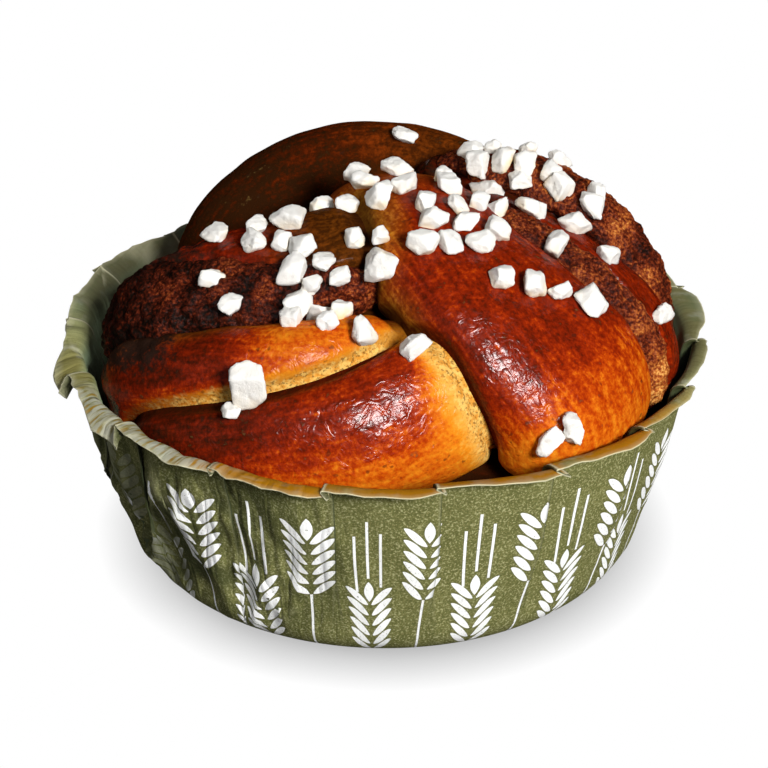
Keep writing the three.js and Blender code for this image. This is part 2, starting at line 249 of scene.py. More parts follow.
# The lip is longest near the outer end of each pleat, and follows the stretches of the rim
lip_share = np.clip((up_paper - lip_foot) / (up_paper[-1] - lip_foot), 0, 1)[:, None]
lip_gain = 1
lip_lift = lip_lifts + layered_noise(case_points(WALL_TOP[0], case_angle, 0 * case_angle), LIP_WAVES)
stretches = {}
for stretch, (middle, start, full, gain, lift) in RIM_STRETCHES.items():
    stretches[stretch] = smooth_rise(np.cos(case_angle - math.radians(middle)), start, full)
    lip_gain = lip_gain + gain * stretches[stretch]
    lip_lift = lip_lift + lift * stretches[stretch]
tucked_tip = smooth_rise(reach_share, LIP_TUCK_START, 1.0)
lip_reach = lip_lengths * (LIP_REACH_START + LIP_REACH_GAIN * reach_share - LIP_REACH_TUCK * tucked_tip)
lip_reach = lip_reach * lip_gain
sideways = np.cos(case_angle) ** 2
standout = PLEAT_STANDOUT + PLEAT_STANDOUT_RIGHT * sideways * stretches["right_half"]
pleat_reach = pleat_depths * standout * reach_share
case_radius = profile[:, :1] + lip_share * (profile[:, :1] - WALL_TOP[0]) * (lip_reach - 1)
case_radius = case_radius + folded * pleat_reach + RIM_OVAL * sideways * folded**2
case_height = profile[:, 1:] + lip_share * (lip_lift - LIP_TIP_DROP * reach_share)
case_height = case_height - lip_share**2 * LIP_HANG * stretches["hanging"] * reach_share**2

# Crumples: long upright creases, sharp at their ridge, with fine slanted ones, strongest on the left
plain = case_points(case_radius, case_angle, case_height)
crease = 1 - np.abs(lattice_noise(plain, CREASE_SPACING, CREASE_SEED))
slanted = plain + FINE_CREASE_SLANT * plain[..., [2, 0, 1]]
fine_crease = 1 - np.abs(lattice_noise(slanted, FINE_CREASE_SPACING, FINE_CREASE_SEED))
left_side = smooth_rise(-plain[..., 0] - LEFT_SLANT * plain[..., 1], *LEFT_REACH)
above_corner = smooth_rise(up_paper, 4, 14)
below_lip = 1 - 0.6 * smooth_rise(up_paper, lip_foot - 9, lip_foot)
wall_only = (above_corner * below_lip)[:, None]
crumple = (CREASE_DEPTH + CREASE_DEPTH_LEFT * left_side) * (crease**3 - CREASE_LEVEL)
fine_crumple = (FINE_CREASE_DEPTH + FINE_CREASE_DEPTH_LEFT * left_side) * (fine_crease**2 - CREASE_LEVEL)
case_radius = case_radius + wall_only * (crumple + fine_crumple)
outside = case_points(case_radius, case_angle, case_height)
inwards = -surface_directions(outside)
inwards[:FLOOR_ROWS] = (0, 0, 1)
inside = outside + PAPER_THICKNESS * inwards
case_grid = np.concatenate([outside, inside[::-1]])
case_rows, case_columns = case_grid.shape[:2]
case_quads, case_fans = pole_faces(case_rows, case_columns)
paper_case = add_piece("paper_case_pressed", with_poles(case_grid), case_quads, case_fans)

# What the finish reads at each point, as shares: the cut edge, the lip in the light, the lip in painted
# shade, its dry and greasy stretches, fold lines worn pale with a painted highlight along the left crumples'
# ridges, painted shade on the wall deep inside and in the pockets behind folds, the left side, where the
# print is tucked away, and the crumpled wall
near_lip = smooth_rise(up_paper, lip_foot - 2, lip_foot + 2)[:, None]
near_fold = np.exp(-((from_fold - 1) / 0.25) ** 2)
# A painted highlight along the ridges of the left wall's crumples, carried with the pale fold lines
ridge_highlight = wall_only * left_side * smooth_rise(crease, 0.93, 1.0)
frontward = -np.sin(case_angle)
rightward = np.cos(case_angle)
greasy_front = smooth_rise(frontward, 0.3, 0.75) * smooth_rise(rightward, -0.66, -0.46)
paper_values = {
    "edge": np.exp(-((up_paper[-1] - up_paper) / 0.2) ** 2)[:, None],
    "lip": near_lip * (1 - 0.85 * stretches["upright"]) * (1 - 0.55 * stretches["right_lip"]),
    "lip_shade": near_lip * np.maximum(stretches["upright"], stretches["right_lip"]),
    "dry": near_lip * smooth_rise(frontward, 0.3, 0.5) * smooth_rise(-rightward, 0.4, 0.6),
    "greasy": near_lip * (0.1 + 0.9 * greasy_front),
    "fold_wear_and_ridge_highlight": folded * near_fold + ridge_highlight,
    "deep_inside_shade": (1 - smooth_rise(up_paper, lip_foot - 12, lip_foot - 7))[:, None],
    "pocket_shade": folded * (1 - smooth_rise(from_fold, 0.8, 1.0)),
    "tucked": smooth_rise(-rightward, 0.62, 0.76),
    "crumpled": wall_only * left_side,
}
is_inside = np.repeat([0.0, 1.0], len(profile))[:, None] + np.zeros(case_columns)
add_values(paper_case, "inside", with_poles(is_inside))
for value_name, values in paper_values.items():
    value_rows = np.broadcast_to(values, case_angle.shape)
    add_values(paper_case, value_name, with_poles(np.concatenate([value_rows, value_rows[::-1]])))

# Flat paper, for the print: millimetres round the sheet, with one pair of ears to a pleat, and up from the
# floor's edge
PAIR_WIDTH = 16.6
PRINT_DRIFT = 0.2
PRINT_DRIFT_START = math.radians(120.6)
print_shift = PRINT_DRIFT * np.sin(2 * (pleat_starts + PRINT_DRIFT_START))
drifted = pleat_of_column + paper_share - print_shift[pleat_of_column]
sheet_round = np.append(drifted, drifted[0] + PLEATS) * PAIR_WIDTH
sheet_up = np.append(up_paper, up_paper[::-1])
quad_row, quad_column = (place.ravel() for place in np.mgrid[1 : case_rows - 2, 0:case_columns])
corner_rows = np.stack([quad_row, quad_row, quad_row + 1, quad_row + 1], 1)
corner_columns = np.stack([quad_column, quad_column + 1, quad_column + 1, quad_column], 1)
quad_places = np.stack([sheet_round[corner_columns], sheet_up[corner_rows]], -1)
fan_places = np.full((case_fans.size, 2), -FLOOR_RADIUS)
flat_paper = paper_case.data.uv_layers.new(name="flat_paper")
flat_paper.data.foreach_set("uv", np.concatenate([quad_places.reshape(-1, 2), fan_places]).ravel())


class Wire:
    """A number that runs through a material: sums on it add the math nodes that work them out."""

    def __init__(self, socket):
        self.socket = socket

    def math(self, operation, *others):
        node = self.socket.id_data.nodes.new("ShaderNodeMath")
        node.operation = operation
        for place, value in zip(node.inputs, (self, *others)):
            connect(value, place)
        return Wire(node.outputs[0])

    def __add__(self, other):
        return self.math("ADD", other)

    def __sub__(self, other):
        return self.math("SUBTRACT", other)

    def __mul__(self, other):
        return self.math("MULTIPLY", other)

    def __truediv__(self, other):
        return self.math("DIVIDE", other)

    def __abs__(self):
        return self.math("ABSOLUTE")

    def above(self, other):
        return self.math("GREATER_THAN", other)

    def between(self, low, high):
        return self.above(low) * self.math("LESS_THAN", high)

    def either(self, other):
        return self.math("MAXIMUM", other)

    def rise(self, start, end):
        """0 before start, 1 after end and smooth between them."""
        node = self.socket.id_data.nodes.new("ShaderNodeMapRange")
        node.interpolation_type = "SMOOTHSTEP"
        connect(self, node.inputs["Value"])
        node.inputs["From Min"].default_value = start
        node.inputs["From Max"].default_value = end
        return Wire(node.outputs[0])


def connect(value, socket):
    """Links a wire or a node's output to a socket, or sets the socket to a plain value."""
    if isinstance(value, Wire):
        value = value.socket
    if isinstance(value, bpy.types.NodeSocket):
        socket.id_data.links.new(value, socket)
    else:
        socket.default_value = value


def new_finish(name, **constants):
    """A material with its tree and shader, and the shader's constant sockets set by name."""
    finish = bpy.data.materials.new(name)
    finish.use_nodes = True
    tree = finish.node_tree
    shader = tree.nodes["Principled BSDF"]
    for socket, value in constants.items():
        shader.inputs[socket.replace("_", " ")].default_value = value
    return finish, tree, shader


def add_node(tree, kind, **sockets):
    """A node with its input sockets set or linked by name."""
    node = tree.nodes.new(kind)
    for socket, value in sockets.items():
        connect(value, node.inputs[socket.replace("_", " ")])
    return node


def noise(tree, size, detail=2.0, roughness=0.5, distortion=0.0):
    """Noise from 0 to 1 with grains of about the given size in millimetres."""
    place = tree.nodes.new("ShaderNodeTexCoord").outputs["Object"]
    grains = add_node(tree, "ShaderNodeTexNoise", Vector=place, Scale=1 / (size * MILLIMETRE), Detail=detail,
                      Roughness=roughness, Distortion=distortion)
    return Wire(grains.outputs[0])


def drawn_noise(tree, place, sizes, detail=3.0):
    """Noise from 0 to 1 on a place given in millimetres, with grains drawn out to a size along each axis."""
    sized = add_node(tree, "ShaderNodeMapping", Vector=place, Scale=[1 / size for size in sizes])
    grains = add_node(tree, "ShaderNodeTexNoise", Vector=sized.outputs[0], Scale=1.0, Detail=detail)
    return Wire(grains.outputs[0])


def attribute(tree, name):
    """A number that a piece carries at its points."""
    node = tree.nodes.new("ShaderNodeAttribute")
    node.attribute_name = name
    return Wire(node.outputs["Fac"])


def blend(tree, share, first, second):
    """Two colours blended by a share."""
    node = tree.nodes.new("ShaderNodeMix")
    node.data_type = "RGBA"
    connect(share, node.inputs[0])
    connect(first, node.inputs[6])
    connect(second, node.inputs[7])
    return node.outputs[2]


def overlaid(tree, base, *layers):
    """A colour with others laid over it in turn, each by its share."""
    for share, colour in layers:
        base = blend(tree, share, base, colour)
    return base


def bump(tree, height, depth, strength, under=None):
    """Shading relief from a height from 0 to 1, with its depth in millimetres, over other relief."""
    node = add_node(tree, "ShaderNodeBump", Height=height, Strength=strength, Distance=depth * MILLIMETRE)
    if under is not None:
        connect(under, node.inputs["Normal"])
    return node.outputs[0]


EAR_PHASE = 0.52
HIGH_EAR_PLACE = 0.25
LOW_EAR_PLACE = 0.75
HIGH_EAR_FOOT = 16.5
LOW_EAR_FOOT = 4.1
GRAIN_PITCH = 2.22
GRAIN_PAIRS = 6
GRAIN_SLOPE = 1.15
GRAIN_MIDDLE = 1.85
GRAIN_HALF_LENGTH = 1.6
GRAIN_HALF_HEIGHT = 0.95
GRAIN_FULLNESS = 1.35
TIP_GRAIN_MIDDLE = 15.2
TIP_GRAIN_HALF_LENGTH = 2.1
TIP_GRAIN_HALF_WIDTH = 0.72
STEM_HALF_WIDTH = 0.2
STEM_FOOT = -2.0
STEM_REACH = 1.2
AWN_HALF_WIDTH = 0.19
# Each awn: its place across the low ear, its foot and its top
AWNS = ((-1.75, 19.3, 30.6), (0.0, 22.1, 33.7), (1.8, 20.3, 31.5))


def inside_range(lens, place, low, high):
    """One less a number where a place lies between two limits, and -1 elsewhere."""
    return (lens * -1.0 + 2.0) * place.between(low, high) - 1.0


def wheat_ear(across, up):
    """How far inside an ear's grains a place is, above 0 inside: pairs of grains as lenses on slanted rows,
    mirrored about the stem, and one grain upright at the tip. A lens is one less the square of the length
    and a power of the height."""
    out = abs(across)
    row = (up - out * GRAIN_SLOPE) / GRAIN_PITCH
    height = abs((row.math("FRACT") - 0.5) * (GRAIN_PITCH / GRAIN_HALF_HEIGHT))
    length = (out - GRAIN_MIDDLE) / GRAIN_HALF_LENGTH
    lens = height.math("POWER", GRAIN_FULLNESS) + length * length
    tip_length = (up - TIP_GRAIN_MIDDLE) / TIP_GRAIN_HALF_LENGTH
    tip = out / TIP_GRAIN_HALF_WIDTH + tip_length * tip_length
    return inside_range(lens, row, 0.0, float(GRAIN_PAIRS)).either(tip * -1.0 + 1.0)


def wheat_print(tree, place):
    """How far inside the white print a place on flat paper is, above 0 inside: a high ear on its stem, then
    a low ear under three awns, over and over."""
    parts = add_node(tree, "ShaderNodeSeparateXYZ", Vector=place)
    pair = (Wire(parts.outputs[0]) / PAIR_WIDTH + EAR_PHASE).math("FRACT")
    up = Wire(parts.outputs[1])
    high = (pair - HIGH_EAR_PLACE) * PAIR_WIDTH
    low = (pair - LOW_EAR_PLACE) * PAIR_WIDTH
    stem = inside_range(abs(high) / STEM_HALF_WIDTH, up, STEM_FOOT, HIGH_EAR_FOOT + STEM_REACH)
    ink = wheat_ear(high, up - HIGH_EAR_FOOT).either(stem).either(wheat_ear(low, up - LOW_EAR_FOOT))
    for place_across, foot, top in AWNS:
        ink = ink.either(inside_range(abs(low - place_across) / AWN_HALF_WIDTH, up, foot, top))
    return ink


PAPER_OLIVE = (0.232, 0.228, 0.082, 1)
PAPER_OLIVE_DARK = (0.115, 0.118, 0.036, 1)
PAPER_FIBRE = (0.46, 0.45, 0.24, 1)
# Dark olive for painted shade, in the folds of the crumpled left wall and on the wall deep inside
PAPER_PAINTED_SHADE = (0.045, 0.052, 0.019, 1)
# Near-black olive for painted shade in the pockets behind folds
PAPER_POCKET_SHADE = (0.030, 0.036, 0.012, 1)
PAPER_SAGE = (0.40, 0.53, 0.31, 1)
# Darker sage for painted shade on the upright back-left stretch of the lip and on the right lip
PAPER_SAGE_SHADE = (0.078, 0.104, 0.068, 1)
PAPER_LIP = (0.235, 0.235, 0.085, 1)
PAPER_LIP_DARK = (0.155, 0.155, 0.046, 1)
PAPER_CHALKY = (0.46, 0.46, 0.39, 1)
PAPER_GREASE = (0.40, 0.165, 0.001, 1)
PAPER_CUT_EDGE = (0.66, 0.63, 0.42, 1)
PRINT_WHITE = (1.0, 1.0, 0.98, 1)
FIBRE_SIZE = 0.34
CRINKLE_SIZES = (0.6, 6.0, 1.0)
CREASE_LINE_SIZES = (3.0, 18.0, 1.0)

paper_finish, tree, shader = new_finish("pressed_baking_paper", Roughness=0.75, Specular_IOR_Level=0.04)
cloudy = noise(tree, 6.0, detail=3.0)
fibres = noise(tree, FIBRE_SIZE, detail=2.0, roughness=0.75)
sheet_place = tree.nodes.new("ShaderNodeUVMap")
sheet_place.uv_map = "flat_paper"
crinkles = drawn_noise(tree, sheet_place.outputs[0], CRINKLE_SIZES)
crease_noise = drawn_noise(tree, sheet_place.outputs[0], CREASE_LINE_SIZES, detail=2.0)
crumpled = attribute(tree, "crumpled")
pocket_shade = attribute(tree, "pocket_shade")
fold_lines_and_ridge_highlight = attribute(tree, "fold_wear_and_ridge_highlight")

# The printed outside: paler fibres, painted shade in the folds of the crumpled left wall, fold lines worn
# pale with a painted highlight on the crumples' ridges, a darker rim round the print as painted shade of the
# raised ink, the white print, and painted shade in the pockets behind folds
ink = wheat_print(tree, sheet_place.outputs[0])
folded_away = attribute(tree, "tucked") * crease_noise.rise(0.62, 0.52)
marks = ink.above(0.0) * (folded_away * -0.92 + 1.0)
olive = blend(tree, (fibres * 0.8 + cloudy * 0.2).rise(0.38, 0.62), PAPER_OLIVE_DARK, PAPER_OLIVE)
printed = overlaid(
    tree, olive,
    (noise(tree, FIBRE_SIZE, detail=2.0).rise(0.54, 0.68) * 0.7, PAPER_FIBRE),
    (crumpled * cloudy.rise(0.7, 0.4) * 0.8, PAPER_PAINTED_SHADE),
    (fold_lines_and_ridge_highlight * 0.4, PAPER_FIBRE),
    (ink.rise(-0.7, -0.1) * 0.6, PAPER_OLIVE_DARK),
    (marks * fibres.rise(0.2, 0.42), PRINT_WHITE),
    (pocket_shade * 0.7, PAPER_POCKET_SHADE),
)

# The bare inside, with its lip stained by butter, painted shade on the upright back-left and the right
# stretches of the lip, in the pockets behind folds and on the wall deep inside, and pale cut edges along fold
# lines with a painted highlight on the left crumples' ridges
grease = noise(tree, 10.0, detail=2.0).rise(0.36, 0.5) * attribute(tree, "greasy")
chalky = noise(tree, 4.0, detail=3.0).rise(0.54, 0.7) * attribute(tree, "lip")
dry = attribute(tree, "dry")
lip_tone = blend(tree, crinkles.rise(0.32, 0.6), PAPER_LIP_DARK, PAPER_LIP)
bare = overlaid(
    tree, PAPER_SAGE,
    (attribute(tree, "lip_shade"), PAPER_SAGE_SHADE),
    (attribute(tree, "lip"), lip_tone),
    (grease * 0.95, PAPER_GREASE),
    (chalky * (grease * -0.7 + 1.0) * 0.55, PAPER_CHALKY),
    (dry * crinkles.rise(0.40, 0.55) * 0.7, PAPER_CHALKY),
    (dry * crinkles.rise(0.46, 0.36) * 0.5, PAPER_GREASE),
    (pocket_shade * 0.9, PAPER_POCKET_SHADE),
    (fold_lines_and_ridge_highlight * 0.8, PAPER_CUT_EDGE),
    (attribute(tree, "deep_inside_shade") * 0.9, PAPER_PAINTED_SHADE),
)
sheet = blend(tree, attribute(tree, "inside"), printed, bare)
connect(blend(tree, attribute(tree, "edge") * 0.8, sheet, PAPER_CUT_EDGE), shader.inputs["Base Color"])
relief = bump(tree, fibres, 0.15, 0.7)
relief = bump(tree, crinkles, 0.4, 0.3, under=relief)
relief = bump(tree, abs(crease_noise - 0.5) * crumpled, 5.0, 0.8, under=relief)
connect(bump(tree, marks, 0.05, 0.6, under=relief), shader.inputs["Normal"])
paper_case.data.materials.append(paper_finish)
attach(paper_case, "root")
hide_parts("paper_case")

# Dough knot
# Strands of sweet wheat dough wound over each other, brushed with egg and baked until they fuse.
# The tops turn a glossy red-brown and the low sides stay golden.
# Folds that opened late in the oven are pale.

KNOT_MIDDLE = np.array([0.0, 0.0, 26.0])
SECTION_POWER = 0.85
END_POWER = 10
STRAND_ROWS = 160
STRAND_COLUMNS = 80
FAR_STRANDS = ("inner_fold", "back_hoop", "back_roll")
FAR_ROWS = 110
FAR_COLUMNS = 56
OUTWARD_CROWDING = 0.35
STRAND_END_CROWDING = 0.4
PATH_SAMPLES = 72
LEAST_REACH = 0.05

# Each strand: the path of its section's middle, half widths and half thicknesses at start, middle and end
STRANDS = {
    "crossing_band": (
        [(0, 16, 44), (2.5, 8, 52), (6, -4, 54.5), (12.5, -15, 51.5), (21.3, -22.8, 45.5), (28.3, -26, 38),
         (29.5, -25, 28)],
        (13, 14.5, 16.5), (7.5, 9.5, 10)),
    "front_lobe": (
        [(16, -23.5, 42), (8, -28.5, 39), (-4, -31.5, 35), (-16, -30, 32.5), (-28, -24.5, 30),
         (-36.5, -15, 28)],
        (11, 11.5, 8), (7.5, 11, 9.5)),
    "left_middle": (
        [(6, -19, 45), (-5, -24, 44.5), (-15, -25.5, 42.5), (-26, -22.5, 39.7), (-35.5, -16.5, 36),
         (-39.5, -11, 29)],
        (3.5, 8, 9), (6, 9, 8)),
    "left_upper": (
        [(4, -7, 53), (-7, -10, 52.5), (-17, -11.5, 49.5), (-27, -11, 46), (-35.5, -8.5, 41),
         (-39.5, -4, 33)],
        (9.5, 11, 10), (8, 9, 8)),
    "right_inner": (
        [(8, 7, 51), (17, 1, 52), (25, -4, 49.5), (33, -8.5, 45), (38.5, -11, 38), (37.5, -11.5, 30)],
        (8, 9.2, 8.8), (7, 8.7, 8)),
    "right_outer": (
        [(6, 20, 51), (15.5, 14.5, 54), (25.7, 10, 52.9), (34.6, 6.3, 47.5), (38.9, 2.5, 39),
         (38.3, -0.5, 29)],
        (8, 10.2, 9), (7, 8.8, 8)),
    "inner_fold": (
        [(-37, 5, 31), (-29, 8, 40), (-16, 10.5, 45), (-2, 13, 47), (10, 16, 44)],
        (9, 9, 8), (7, 7, 6)),
    "back_hoop": (
        [(-31, 14, 33), (-27.5, 19.5, 43.2), (-19.4, 24.5, 49.9), (-6.5, 27, 53.4), (7, 26, 53),
         (18, 21, 50), (29, 14, 42.5), (36, 7, 33)],
        (8, 8, 8), (7, 8, 7)),
    "back_roll": (
        [(-36, 9.5, 29), (-24, 27, 33), (0, 34, 35), (24, 27, 33), (36, 9.5, 29)],
        (11, 12, 11), (9, 10, 9)),
}


def bend(values, along):
    """A number that runs through its start, middle and end as a parabola."""
    start, middle, end = values
    rest = 1 - along
    return start * rest * (rest - along) + middle * 4 * along * rest + end * along * (along - rest)


def path_points(path, along):
    """Points and unit directions of the smooth curve through a path's points, by Catmull-Rom cubics."""
    path = np.array(path, float)
    knots = np.concatenate([[2 * path[0] - path[1]], path, [2 * path[-1] - path[-2]]])
    place = np.clip(along, 0, 1) * (len(path) - 1)
    first = np.minimum(place.astype(int), len(path) - 2)
    share = (place - first)[..., None]
    before, start, end, after = (knots[first + i] for i in range(4))
    square = 2 * before - 5 * start + 4 * end - after
    cube = 3 * (start - end) + after - before
    points = start + 0.5 * share * (end - before + share * (square + share * cube))
    slopes = end - before + share * (2 * square + 3 * share * cube)
    return points, slopes / np.linalg.norm(slopes, axis=-1, keepdims=True)


def row_length(points):
    """The length of a row of points: the sum of its steps."""
    return np.linalg.norm(np.diff(points, axis=0), axis=1).sum()


def strand_frame(name, along):
    """A strand's middle, its sideways and outward directions, and its half width and half thickness."""
    path, half_width, half_thickness = STRANDS[name]
    middle, forward = path_points(path, along)
    out = middle - KNOT_MIDDLE
    out = out - np.sum(out * forward, axis=-1, keepdims=True) * forward
    out = out / np.linalg.norm(out, axis=-1, keepdims=True)
    return middle, np.cross(forward, out), out, bend(half_width, along), bend(half_thickness, along)


def signed_power(values, power):
    """A power of the size of each number, with its sign kept."""
    return np.sign(values) * np.abs(values) ** power


def end_fullness(share):
    """How full a section is near rounded ends: a flattened ellipse from 0 at each end to 1 between."""
    return np.sqrt(np.maximum(0, 1 - np.abs(2 * share - 1) ** END_POWER))


def strand_points(name, along, angle, reach):
    """Points of a strand: a rounded, slightly square section along the path, at a share of its reach."""
    middle, side, out, half_width, half_thickness = strand_frame(name, along)
    sideways = half_width * reach * signed_power(np.cos(angle), SECTION_POWER)
    outwards = half_thickness * reach * signed_power(np.sin(angle), SECTION_POWER)
    return middle + side * sideways[..., None] + out * outwards[..., None]


def strand_distance(name, points):
    """For each point, its distance outside a strand, below 0 inside it: measured from the nearest place on
    the path, through the section's surface there."""
    samples = np.linspace(0, 1, PATH_SAMPLES)
    middles, _ = path_points(STRANDS[name][0], samples)
    length = row_length(middles)
    square = np.sum(middles**2, axis=1) - 2 * points @ middles.T
    near = samples[np.argmin(square, axis=1)]
    for _ in range(2):
        middle, forward = path_points(STRANDS[name][0], near)
        near = np.clip(near + np.sum((points - middle) * forward, axis=1) / length, 0, 1)
    middle, side, out, half_width, half_thickness = strand_frame(name, near)
    offset = points - middle
    full = np.maximum(end_fullness(near), LEAST_REACH)
    sideways = np.abs(np.sum(offset * side, axis=1) / (half_width * full))
    outwards = np.abs(np.sum(offset * out, axis=1) / (half_thickness * full))
    power = 2 / SECTION_POWER
    reach = (sideways**power + outwards**power) ** (1 / power)
    return np.linalg.norm(offset, axis=1) * (1 - 1 / np.maximum(reach, LEAST_REACH))


DOUGH_CLEARANCE = 0.9
CORE_SHRINK = (0.975, 1)
CORE_LIFT = (0, 0.95)
CORE_FOOT_TOP = 20
CORE_DOME_RADIUS = 43.5
CORE_DOME_FOOT = 17
CORE_DOME_RISE = 20
CORE_DOME_ROWS = 16
CORE_COLUMNS = 96


def in_the_case(points):
    """Points drawn in to the clear space inside the case: no limit above its wall."""
    height = points[..., 2]
    wall_rows = slice(FLOOR_ROWS - 1, -LIP_ROWS)
    wall = np.interp(height, profile[wall_rows, 1], profile[wall_rows, 0])
    room = np.where(height < WALL_TOP[1], wall - DOUGH_CLEARANCE, np.inf)
    radius = np.hypot(points[..., 0], points[..., 1])
    kept = np.minimum(radius, room) / np.maximum(radius, 1e-6)
    return points * np.stack([kept, kept, np.ones_like(kept)], -1)


def core_grid():
    """The crumb under the strands: a turned solid with the case's foot, a wall and an elliptical dome."""
    foot = profile[::2][:FLOOR_ROWS] * CORE_SHRINK + CORE_LIFT
    turn = np.linspace(0, math.pi / 2, CORE_DOME_ROWS)
    dome = np.stack([CORE_DOME_RADIUS * np.cos(turn), CORE_DOME_FOOT + CORE_DOME_RISE * np.sin(turn)], 1)
    rows = np.concatenate([foot[foot[:, 1] < CORE_FOOT_TOP], dome])
    angle = np.linspace(0, 2 * np.pi, CORE_COLUMNS, endpoint=False)
    return case_points(rows[:, :1], angle, rows[:, 1:] + 0 * angle)


def joined_surfaces(grids):
    """Points and faces of several grids, one after the other."""
    points, quads, fans, count = [], [], [], 0
    for grid in grids:
        grid_quads, grid_fans = pole_faces(*grid.shape[:2])
        points.append(with_poles(grid))
        quads.append(grid_quads + count)
        fans.append(grid_fans + count)
        count += len(points[-1])
    return np.concatenate(points), np.concatenate(quads), np.concatenate(fans)


# The filling lies in troughs of these strands: its angles and half angles round the section, in degrees, at
# the strand's start and end, and where along the strand it starts and ends
FILLINGS = {
    "cinnamon_filling_left": ("left_upper", (183, 60), (28, 51), 0.12, 0.95),
    "cinnamon_filling_right": ("right_inner", (42, 46), (24, 27), 0.14, 0.93),
    "cinnamon_filling_back": ("right_outer", (40, 48), (37, 41), 0.12, 0.93),
}
TROUGH_DEPTH = 1.3
TROUGH_FADE = 0.02
TROUGH_EDGE = (-0.02, 0.1)
TROUGH_WAVES = ((4, 0.18, 24),)
GROOVE_DEPTH = 1.0
GROOVE_WIDTH = 1.2
CREASE_WIDTH = 1.5
DOUGH_LUMPS = ((13, 0.55, 21), (6, 0.25, 22), (2.6, 0.10, 23))
CHAR_LUMPS = ((1.7, 0.5, 25),)
SKIN_MARK_STEP = 60.0

# How brown the crust is, from 0 for pale golden to 1 for burnt; the fold deep behind the front strands is set
# to burnt brown as painted shade
STRAND_BROWN = {
    "crossing_band": 0.62, "front_lobe": 0.58, "left_middle": 0.74, "left_upper": 0.71, "right_inner": 0.66,
    "right_outer": 0.68, "inner_fold": 1.0, "back_hoop": 0.88, "back_roll": 0.66,
}
DULL_STRANDS = ("inner_fold", "back_hoop")
CRUST_VALUES = ("brown", "pale", "burnt", "ochre", "crease", "gloss")
# The core shows only in deep gaps between strands: the darkest brown and full crease shade on it are painted
# shade
CORE_SHADE_VALUES = (1.0, 0, 0, 0, 1.0, 0)


def crowded_ends(rows, crowding):
    """A column of shares from 0 to 1, closer at both ends: an even run blended with half a cosine wave."""
    share = np.linspace(0, 1, rows)[:, None]
    return (1 - crowding) * share + crowding * (0.5 - 0.5 * np.cos(np.pi * share))


def strand_lattice(name):
    """Shares along a strand and angles round it for every point of its surface, closer on its outer side."""
    rows, columns = (FAR_ROWS, FAR_COLUMNS) if name in FAR_STRANDS else (STRAND_ROWS, STRAND_COLUMNS)
    along = crowded_ends(rows, STRAND_END_CROWDING)
    turn = -np.linspace(0, 2 * np.pi, columns, endpoint=False)[None, :]
    return along + 0 * turn, turn + OUTWARD_CROWDING * np.cos(turn) + 0 * along


def angle_between(first, second):
    """The turn from one angle to another, from minus to plus half a turn."""
    return (first - second + np.pi) % (2 * np.pi) - np.pi


def run_angle(ends, along):
    """An angle that runs evenly from its start to its end, given in degrees."""
    return np.radians(ends[0] + (ends[1] - ends[0]) * along)


def filling_trough(name, along, angle, points):
    """1 where the filling lies in a strand and 0 elsewhere, with a wavy edge."""
    trough = np.zeros(along.shape)
    for strand_name, angles, half_angles, start, end in FILLINGS.values():
        if strand_name == name:
            edge = run_angle(half_angles, along) * (1 + layered_noise(points, TROUGH_WAVES))
            from_edge = edge - np.abs(angle_between(angle, run_angle(angles, along)))
            started = smooth_rise(along, start - TROUGH_FADE, start + TROUGH_FADE)
            ended = smooth_rise(along, end - TROUGH_FADE, end + TROUGH_FADE)
            trough = smooth_rise(from_edge, *TROUGH_EDGE) * started * (1 - ended)
    return trough


def toward(values, tone, share):
    """Numbers moved towards a tone by a share."""
    return values + (tone - values) * share


def near_to(distance, full, end):
    """1 up to a distance, then a smooth fall to 0 at another."""
    return 1 - smooth_rise(distance, full, end)


